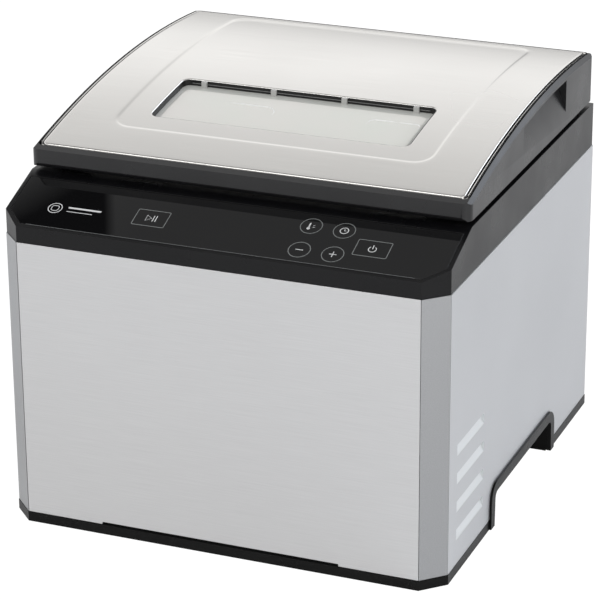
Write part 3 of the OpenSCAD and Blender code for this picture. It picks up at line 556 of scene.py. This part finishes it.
def soft_box_points(u, v, width, height_v, corner):
    points = []
    for cu, cv, start in ((1, 1, 0), (-1, 1, 90), (-1, -1, 180), (1, -1, 270)):
        centre_u = u + cu * (width / 2 - corner)
        centre_v = v + cv * (height_v / 2 - corner)
        for step in range(6):
            a = math.radians(start + 18 * step)
            points.append((centre_u + corner * math.cos(a), centre_v + corner * math.sin(a)))
    return points


def printed(name, material, paths):
    builder = bmesh.new()
    for points, width, closed in paths:
        ink_path(builder, points, width, closed)
    bmesh.ops.recalc_face_normals(builder, faces=builder.faces)
    for face in builder.faces:
        if face.normal.z < 0:
            face.normal_flip()
    mesh = bpy.data.meshes.new(name)
    builder.to_mesh(mesh)
    builder.free()
    mesh.materials.append(material)
    piece = bpy.data.objects.new(name, mesh)
    bpy.context.scene.collection.objects.link(piece)
    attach(piece, "cabinet")
    return piece


key_line = 0.0006
start_key = (-0.0568, 0.0273)
power_key = (0.1054, 0.0270)
heat_key = (0.0563, 0.0413)
time_key = (0.0803, 0.0410)
minus_key = (0.0567, 0.0166)
plus_key = (0.0807, 0.0165)
key_radius = 0.0076
outlines = [
    (soft_box_points(*start_key, 0.0240, 0.0160, 0.0010), key_line, True),
    (soft_box_points(*power_key, 0.0240, 0.0158, 0.0010), key_line, True),
]
for key_place in (heat_key, time_key, minus_key, plus_key):
    outlines.append((ring_points(*key_place, key_radius), key_line, True))
printed("touch_key_outlines", legend_grey, outlines)

su, sv = start_key
pu, pv = power_key
hu, hv = heat_key
tu, tv = time_key
mu, mv = minus_key
qu, qv = plus_key
signs = [
    ([(su - 0.0036, sv - 0.0028), (su - 0.0036, sv + 0.0028), (su + 0.0004, sv)], 0.0005, True),
    ([(su + 0.0017, sv - 0.0030), (su + 0.0017, sv + 0.0030)], 0.0006, False),
    ([(su + 0.0037, sv - 0.0030), (su + 0.0037, sv + 0.0030)], 0.0006, False),
    (ring_points(pu, pv - 0.0004, 0.0027, 125.0, 290.0), 0.0006, False),
    ([(pu, pv - 0.0002), (pu, pv + 0.0036)], 0.0006, False),
    (ring_points(tu, tv, 0.0029), 0.0006, True),
    ([(tu, tv + 0.0019), (tu, tv), (tu + 0.0015, tv)], 0.0005, False),
    ([(mu - 0.0027, mv), (mu + 0.0027, mv)], 0.0006, False),
    ([(qu - 0.0027, qv), (qu + 0.0027, qv)], 0.0006, False),
    ([(qu, qv - 0.0027), (qu, qv + 0.0027)], 0.0006, False),
    ([(hu - 0.0014, hv - 0.0020), (hu - 0.0014, hv + 0.0030)], 0.0010, False),
    (ring_points(hu - 0.0014, hv - 0.0026, 0.0007), 0.0010, True),
    ([(hu + 0.0012, hv + 0.0008), (hu + 0.0024, hv + 0.0008)], 0.0004, False),
    ([(hu + 0.0012, hv - 0.0010), (hu + 0.0028, hv - 0.0010)], 0.0004, False),
]
printed("touch_key_signs", legend_white, signs)
# A dark line and a thin bright line printed along the glass's lower edge, between its cut corners: painted
# shade for the groove at the edge, and a painted highlight on the edge.
glass_low, glass_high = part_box("control_glass")
edge_v = (glass_low.y + half_depth) / math.cos(slope_angle)
edge_u = glass_high.x - 0.018
edge_shade_v = edge_v - 0.0004
edge_highlight_v = edge_v + 0.0003
printed("glass_edge_shade_line", black_plastic, [([(-edge_u, edge_shade_v), (edge_u, edge_shade_v)], 0.0009, False)])
printed("glass_edge_highlight_line", legend_grey, [([(-edge_u, edge_highlight_v), (edge_u, edge_highlight_v)], 0.0003, False)])
mark_u, mark_v = -0.1289, 0.0245
mark = [
    (ring_points(mark_u, mark_v, 0.0050), 0.0006, True),
    (soft_box_points(mark_u, mark_v, 0.0052, 0.0052, 0.0016), 0.0005, True),
    ([(mark_u + 0.0095, mark_v + 0.0022), (mark_u + 0.0345, mark_v + 0.0022)], 0.0016, False),
    ([(mark_u + 0.0095, mark_v - 0.0018), (mark_u + 0.0290, mark_v - 0.0018)], 0.0006, False),
]
printed("panel_mark", legend_white, mark)

# ---------------------------------------------------------------- lid frame
# Satin black moulding that carries the steel cover, with a bevel along each
# side ahead of its finger grip.
lid_plastic = moulded("lid_plastic", (0.008, 0.008, 0.009), (0.013, 0.013, 0.014), (0.26, 0.36))
edged_copy("lid_frame", "lid_frame_moulding", "lid", lid_plastic, 0.0014, 5, 24.0)

# ---------------------------------------------------------------- lid cover
# One finely brushed stainless pressing, bonded to the frame: a rim turned down
# outside a pressed groove, a wide field set down in it, and a rolled window edge.
frame_low, frame_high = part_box("lid_frame")
cover_low, cover_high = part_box("lid_cover")
crest_back = 0.0785
lid_rise = 0.0439
nose_height = 0.0171
crest_y = frame_high.y - crest_back
crest_z = collar_top + lid_rise
curve_drop = lid_rise - nose_height
curve_radius = ((crest_y - frame_low.y) ** 2 + curve_drop ** 2) / (2 * curve_drop)


def curve_height(y):
    """Height of the lid's long curve at y."""
    return crest_z - curve_radius + math.sqrt(curve_radius ** 2 - (y - crest_y) ** 2)


class Outline:
    """A rounded rectangle in plan that a pressing's rings are laid out on."""

    def __init__(self, x_half, front, rear, corner):
        self.x_half = x_half
        self.front = front
        self.rear = rear
        self.corner = corner

    def toward(self, other, share):
        return Outline(
            self.x_half + (other.x_half - self.x_half) * share,
            self.front + (other.front - self.front) * share,
            self.rear + (other.rear - self.rear) * share,
            self.corner + (other.corner - self.corner) * share,
        )

    def grown(self, by):
        corner = max(self.corner + by, 0.0004)
        return Outline(self.x_half + by, self.front - by, self.rear + by, corner)

    def points(self, along=36, side=34, turn=8):
        """Plan points, anticlockwise from the right end of the front edge."""
        c = self.corner
        corners = (
            (self.x_half - c, self.front + c, -90),
            (self.x_half - c, self.rear - c, 0),
            (-self.x_half + c, self.rear - c, 90),
            (-self.x_half + c, self.front + c, 180),
        )
        found = []
        for index, (cx, cy, start) in enumerate(corners):
            for step in range(turn + 1):
                a = math.radians(start + 90.0 * step / turn)
                found.append(Vector((cx + c * math.cos(a), cy + c * math.sin(a))))
            nx, ny, nstart = corners[(index + 1) % 4]
            a = math.radians(nstart)
            goal = Vector((nx + c * math.cos(a), ny + c * math.sin(a)))
            leave = found[-1]
            steps = side if index % 2 == 0 else along
            for step in range(1, steps):
                found.append(leave.lerp(goal, step / steps))
        return found


front_zone = 0.005
front_blend = 0.003


def sheet_point(place, lift, front_lift):
    """A point lifted off the lid's curve; front_lift takes over along the cover's front edge."""
    share = max(0.0, min(1.0, (cover_low.y + front_zone - place.y) / front_blend))
    return (place.x, place.y, curve_height(place.y) + lift + (front_lift - lift) * share)


def pressed_sheet(name, rings, material, closed=False):
    """Extrudes a ring of edges outwards through (outline, lift off the curve, lift at the front)."""
    builder = bmesh.new()
    first, *lifts = rings[0]
    loop = [builder.verts.new(sheet_point(p, lifts[0], lifts[-1])) for p in first.points()]
    count = len(loop)
    edges = [builder.edges.new((loop[i], loop[(i + 1) % count])) for i in range(count)]
    if closed:
        bmesh.ops.contextual_create(builder, geom=edges)
    for outline, *lifts in rings[1:]:
        grown = bmesh.ops.extrude_edge_only(builder, edges=edges)["geom"]
        fresh = {g for g in grown if isinstance(g, bmesh.types.BMVert)}
        loop = [
            next(e.other_vert(vert) for e in vert.link_edges if e.other_vert(vert) in fresh)
            for vert in loop
        ]
        for vert, place in zip(loop, outline.points()):
            vert.co = sheet_point(place, lifts[0], lifts[-1])
        edges = [builder.edges.get((loop[i], loop[(i + 1) % count])) for i in range(count)]
    bmesh.ops.recalc_face_normals(builder, faces=builder.faces)
    highest = max(builder.faces, key=lambda face: face.calc_center_median().z)
    if highest.normal.z < 0:
        bmesh.ops.reverse_faces(builder, faces=builder.faces)
    mesh = bpy.data.meshes.new(name)
    builder.to_mesh(mesh)
    builder.free()
    mesh.materials.append(material)
    mesh.shade_smooth()
    piece = bpy.data.objects.new(name, mesh)
    bpy.context.scene.collection.objects.link(piece)
    return piece


# The outlines from the window out to the rim, and the pressing's depths.
window_edge = Outline(0.098, frame_low.y + 0.060, frame_low.y + 0.123, 0.006)
field_edge = Outline(0.121, frame_low.y + 0.0395, frame_high.y - 0.013, 0.015)
flange_width = 0.0021
groove_width = 0.0008
groove_deep = 0.0007
field_drop = 0.0005
crease = 0.0028
rim_radius = 0.0008
front_drop = 0.0016
outer_edge = Outline(cover_high.x, cover_low.y, cover_high.y, 0.004)
groove_edge = Outline(cover_high.x - flange_width, cover_low.y, cover_high.y - flange_width, 0.0045)
sheet_edge = groove_edge.grown(-groove_width)
sheet_edge.front = cover_low.y + 0.0002
roll = 0.0010
cover_rings = [(window_edge, -field_drop - roll - 0.0008)]
cover_rings += [
    (window_edge.grown(roll * (1 - math.cos(a))), -field_drop - roll * (1 - math.sin(a)))
    for a in (math.radians(15 * step) for step in range(7))
]
window_flat = window_edge.grown(roll + 0.0006)
field_flat = field_edge.grown(-crease)
for step in range(23):
    cover_rings.append((window_flat.toward(field_flat, step / 22.0), -field_drop))
for share in (0.25, 0.5, 0.75, 1.0):
    soft = (1 - math.cos(math.pi * share)) / 2
    cover_rings.append((field_edge.grown(-crease * (1 - share)), -field_drop * (1 - soft)))
sheet_flat = sheet_edge.grown(-rim_radius - 0.0010)
for step in range(1, 15):
    cover_rings.append((field_edge.toward(sheet_flat, step / 14.0), 0.0))
cover_rings += [
    (sheet_edge.grown(-rim_radius * (1 - math.sin(a))), -rim_radius * (1 - math.cos(a)))
    for a in (math.radians(15 * step) for step in range(1, 6))
]
strip_edge = groove_edge.toward(outer_edge, 0.5)
cover_rings += [
    (sheet_edge, -groove_deep - 0.0004, -front_drop),
    (groove_edge.toward(sheet_edge, 0.5), -groove_deep - 0.0007, -front_drop - 0.0002),
    (groove_edge, -groove_deep - 0.0003, -front_drop - 0.0003),
    (groove_edge.toward(outer_edge, 0.12), -0.0008, -front_drop - 0.0004),
    (strip_edge, -0.0005, -front_drop - 0.0005),
    (groove_edge.toward(outer_edge, 0.85), -0.0003, -front_drop - 0.0006),
    (outer_edge, -0.0012, -front_drop - 0.0008),
    (outer_edge, -0.0034),
]
cover_steel = brushed(
    "cover_steel", (0.77, 0.755, 0.73), (0.83, 0.815, 0.79), (0.22, 0.28), 18.0, 2200.0
)
cover = pressed_sheet("lid_cover_pressing", cover_rings, cover_steel)
cover_wall = cover.modifiers.new("sheet", "SOLIDIFY")
cover_wall.thickness = 0.0004
cover_wall.offset = -1.0
# Black sheets in the pressed groove and between the rim and the frame: painted shade for the shadow down
# these narrow gaps.
gap_shade_black = moulded(
    "gap_shade_black", (0.002, 0.002, 0.002), (0.004, 0.004, 0.004), (0.5, 0.7), gloss=0.1
)
groove_shade_rings = [
    (sheet_edge.grown(-0.0002), -0.0009, -front_drop - 0.0010),
    (sheet_edge.grown(0.0003), -0.0005, -front_drop - 0.0010),
    (groove_edge.grown(0.0001), -0.0006, -front_drop - 0.0010),
]
rim_shade_rings = [
    (outer_edge.grown(-0.0008), -0.0002, -front_drop - 0.0004),
    (outer_edge.grown(0.0001), -0.0004, -front_drop - 0.0006),
    (outer_edge.grown(0.0002), -0.0014, -front_drop - 0.0012),
]
for name, rings in (("cover_groove_shade", groove_shade_rings), ("cover_rim_shade", rim_shade_rings)):
    joint = pressed_sheet(name, rings, gap_shade_black)
    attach(joint, "lid")
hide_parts("lid_cover")
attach(cover, "lid")

# ---------------------------------------------------------------- window
# Black rubber channel round the opening, four light clips, a curved pane with
# a milky raised field on it, and a second flat pane in the liner below.
seal_rubber = moulded("seal_rubber", (0.003, 0.003, 0.003), (0.006, 0.006, 0.006), (0.22, 0.3))
edged_copy("window_seal", "window_seal_moulding", "lid", seal_rubber, 0.0004)
# A thin rib along the seal's rear wall, coloured light grey: a painted highlight for the light line along
# the wall.
rib_y = window_edge.rear - 0.0005
rib_drop = 0.0033
rib_builder = bmesh.new()
bmesh.ops.create_cube(rib_builder, size=1.0)
bmesh.ops.scale(rib_builder, verts=rib_builder.verts, vec=(0.184, 0.0010, 0.0005))
bmesh.ops.translate(
    rib_builder, verts=rib_builder.verts, vec=(0, rib_y, curve_height(rib_y) - rib_drop)
)
rib_mesh = bpy.data.meshes.new("window_seal_rib")
rib_builder.to_mesh(rib_mesh)
rib_builder.free()
rib_highlight_grey = moulded("rib_highlight_grey", (0.16, 0.16, 0.16), (0.20, 0.20, 0.20), (0.3, 0.4))
rib_mesh.materials.append(rib_highlight_grey)
rib = bpy.data.objects.new("window_seal_rib", rib_mesh)
bpy.context.scene.collection.objects.link(rib)
rib_round = rib.modifiers.new("round", "BEVEL")
rib_round.width = 0.00015
rib_round.segments = 2
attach(rib, "lid")

clip_plastic = moulded("clip_plastic", (0.46, 0.46, 0.45), (0.54, 0.54, 0.52), (0.3, 0.4))
dress("window_clips", clip_plastic)
pane_drop = 0.0052


def milky_pane(name, tint, pale, passing):
    """Misted glass: part of the light passes, the rest is scattered white."""
    material, tree, shader = new_material(name)
    shader.inputs["Transmission Weight"].default_value = passing
    shader.inputs["IOR"].default_value = 1.5
    source = tree.nodes.new("ShaderNodeGroup")
    source.node_tree = grain_group
    source.inputs["Grain Scale"].default_value = 500.0
    source.inputs["Cloud Scale"].default_value = 14.0
    mix = tree.nodes.new("ShaderNodeMix")
    mix.data_type = "RGBA"
    mix.inputs["A"].default_value = (*tint, 1)
    mix.inputs["B"].default_value = (*pale, 1)
    tree.links.new(ramp_between(tree, source.outputs["Cloud"], 0.0, 1.0), mix.inputs["Factor"])
    tree.links.new(mix.outputs["Result"], shader.inputs["Base Color"])
    tree.links.new(ramp_between(tree, source.outputs["Cloud"], 0.03, 0.07), shader.inputs["Roughness"])
    return material


# The pane is greyer than the field laid on it, so the margin round the field shows darker: painted shade
# along the window's edge.
margin_shade_glass = milky_pane("margin_shade_glass", (0.78, 0.80, 0.76), (0.82, 0.82, 0.79), 0.25)
field_glass = milky_pane("field_glass", (0.85, 0.87, 0.81), (0.90, 0.87, 0.83), 0.12)
dress("lid_window", margin_shade_glass)
dress("lid_inner_pane", field_glass)
pane_field_edge = Outline(0.0938, frame_low.y + 0.0608, frame_low.y + 0.1155, 0.006)
middle = Outline(0.065, frame_low.y + 0.088, frame_low.y + 0.089, 0.0004)
field_rise = 0.0004
field_rings = [
    (middle.toward(pane_field_edge, step / 12.0), -pane_drop + field_rise) for step in range(12)
]
field_rings.append((pane_field_edge.grown(-0.0006), -pane_drop + field_rise))
field_rings.append((pane_field_edge.grown(-0.0002), -pane_drop + 0.0003))
field_rings.append((pane_field_edge, -pane_drop))
pane_field = pressed_sheet("pane_milky_field", field_rings, field_glass, closed=True)
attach(pane_field, "lid")


def ridge(name, path, width, height, material):
    """A low rounded ridge along (x, y) points on the pane's field."""
    builder = bmesh.new()
    rows = []
    for index, place in enumerate(path):
        before = path[max(index - 1, 0)]
        after = path[min(index + 1, len(path) - 1)]
        run = (Vector(after) - Vector(before)).normalized()
        side = Vector((-run.y, run.x))
        taper = min(1.0, index / 3.0, (len(path) - 1 - index) / 3.0) * 0.85 + 0.15
        row = []
        for step in range(7):
            across = step / 3.0 - 1.0
            spot = Vector(place) + side * width / 2 * across * taper
            lift = -pane_drop + 0.0003 + height * taper * (1 - across ** 2)
            row.append(builder.verts.new((spot.x, spot.y, curve_height(spot.y) + lift)))
        rows.append(row)
    for lower, upper in zip(rows, rows[1:]):
        for step in range(6):
            builder.faces.new((lower[step], lower[step + 1], upper[step + 1], upper[step]))
    bmesh.ops.recalc_face_normals(builder, faces=builder.faces)
    mesh = bpy.data.meshes.new(name)
    builder.to_mesh(mesh)
    builder.free()
    mesh.materials.append(material)
    mesh.shade_smooth()
    piece = bpy.data.objects.new(name, mesh)
    bpy.context.scene.collection.objects.link(piece)
    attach(piece, "lid")


def corner_path(start, corner, end, radius, steps=8):
    """Straight run, round corner, straight run; the corner turns from X to Y."""
    run = 1 if corner[0] > start[0] else -1
    fall = 1 if end[1] > corner[1] else -1
    path = [(start[0] + (corner[0] - run * radius - start[0]) * step / 8, start[1]) for step in range(8)]
    for step in range(steps + 1):
        a = math.radians(90.0 * step / steps)
        path.append((
            corner[0] - run * radius * (1 - math.sin(a)),
            corner[1] + fall * radius * (1 - math.cos(a)),
        ))
    path.append(end)
    return path


# The ridges are near-white glass: a painted highlight for the light their embossed edges catch.
pad_highlight_glass = milky_pane("pad_highlight_glass", (0.97, 0.97, 0.96), (1.0, 1.0, 0.99), 0.05)
ridge_width = 0.0011
ridge_height = 0.0006
left_path = corner_path((-0.0575, -0.0160), (-0.0160, -0.0160), (-0.0160, -0.0280), 0.009)
right_path = corner_path((0.0760, -0.0158), (0.0545, -0.0158), (0.0545, -0.0270), 0.005)
far_path = corner_path((0.0750, -0.0158), (0.0925, -0.0158), (0.0925, -0.0480), 0.003)
for name, path in (
    ("left_pad_ridge", left_path), ("right_pad_ridge", right_path), ("far_pad_ridge", far_path)
):
    ridge(name, path, ridge_width, ridge_height, pad_highlight_glass)

# ---------------------------------------------------------------- lid underside
# Dark moulded liner screwed up into the frame, with a soft grey seal round it.
liner_plastic = moulded("liner_plastic", (0.030, 0.031, 0.033), (0.040, 0.041, 0.043), (0.4, 0.5))
dress("lid_liner", liner_plastic)
silicone = moulded("grey_silicone", (0.50, 0.50, 0.48), (0.58, 0.58, 0.56), (0.5, 0.65))
dress("lid_seal", silicone)
dress("tank_gasket", silicone)
dress("lid_screws", screw_zinc)

# ---------------------------------------------------------------- tank
# Deep-drawn stainless tank in a felt blanket, heated from below by a cast
# aluminium plate with a tubular element.
tank_steel = brushed("tank_steel", (0.62, 0.63, 0.64), (0.70, 0.71, 0.72), (0.22, 0.32), 120.0, 500.0)
dress("tank", tank_steel)
dress("pump_strainer", tank_steel)
dress("temperature_probe", tank_steel)
felt = moulded("felt_blanket", (0.52, 0.47, 0.34), (0.66, 0.60, 0.45), (0.9, 1.0), 0.0006, 900.0, 60.0)
dress("tank_insulation", felt)
cast_aluminium = brushed(
    "cast_aluminium", (0.50, 0.51, 0.52), (0.60, 0.61, 0.62), (0.4, 0.6), 500.0, 500.0, 0.00008
)
dress("heater_plate", cast_aluminium)
element_steel = brushed("element_steel", (0.28, 0.28, 0.29), (0.36, 0.35, 0.35), (0.35, 0.5), 200.0, 200.0)
dress("heater_element", element_steel)
phenolic = moulded("phenolic", (0.035, 0.024, 0.018), (0.05, 0.034, 0.026), (0.35, 0.5))
dress("thermal_cutout", phenolic)

# ---------------------------------------------------------------- pouch rack
# Electropolished wire rack with four dividers that slide on its upper rails.
rack_wire = brushed("rack_wire", (0.70, 0.71, 0.73), (0.78, 0.79, 0.80), (0.12, 0.2), 250.0, 250.0)
for node in ("rack_frame", "divider_1", "divider_2", "divider_3", "divider_4"):
    dress(node, rack_wire)

# ---------------------------------------------------------------- electronics
# Green circuit boards, a gloss display block and their moulded components.
board_green = moulded(
    "board_green", (0.020, 0.13, 0.055), (0.028, 0.17, 0.075), (0.25, 0.4), 0.00004, 700.0, 160.0
)
dress("touch_board", board_green)
dress("power_board", board_green)
component = moulded(
    "component_plastic", (0.10, 0.10, 0.11), (0.30, 0.28, 0.22), (0.35, 0.55), 0.00003, 900.0, 55.0
)
dress("power_board_parts", component)
display_gloss = moulded("display_gloss", (0.012, 0.012, 0.016), (0.018, 0.018, 0.024), (0.08, 0.15))
dress("display_module", display_gloss)

# ---------------------------------------------------------------- pump
# Pale moulded volute, steel motor can with a wound stator, and a rotor whose
# shaft carries the impeller.
pump_plastic = moulded("pump_plastic", (0.66, 0.66, 0.63), (0.74, 0.74, 0.71), (0.35, 0.5))
dress("pump_housing", pump_plastic)
dress("pump_impeller", pump_plastic)
dress("pump_seal", foot_rubber)
motor_zinc = brushed("motor_zinc", (0.42, 0.43, 0.45), (0.50, 0.51, 0.53), (0.3, 0.45), 300.0, 300.0)
for node in ("motor_case", "motor_rotor"):
    dress(node, motor_zinc)
dress("pump_shaft", screw_zinc)
enamelled_copper = brushed(
    "enamelled_copper", (0.50, 0.22, 0.09), (0.62, 0.30, 0.13), (0.25, 0.4), 900.0, 90.0, 0.0001
)
dress("motor_stator", enamelled_copper)
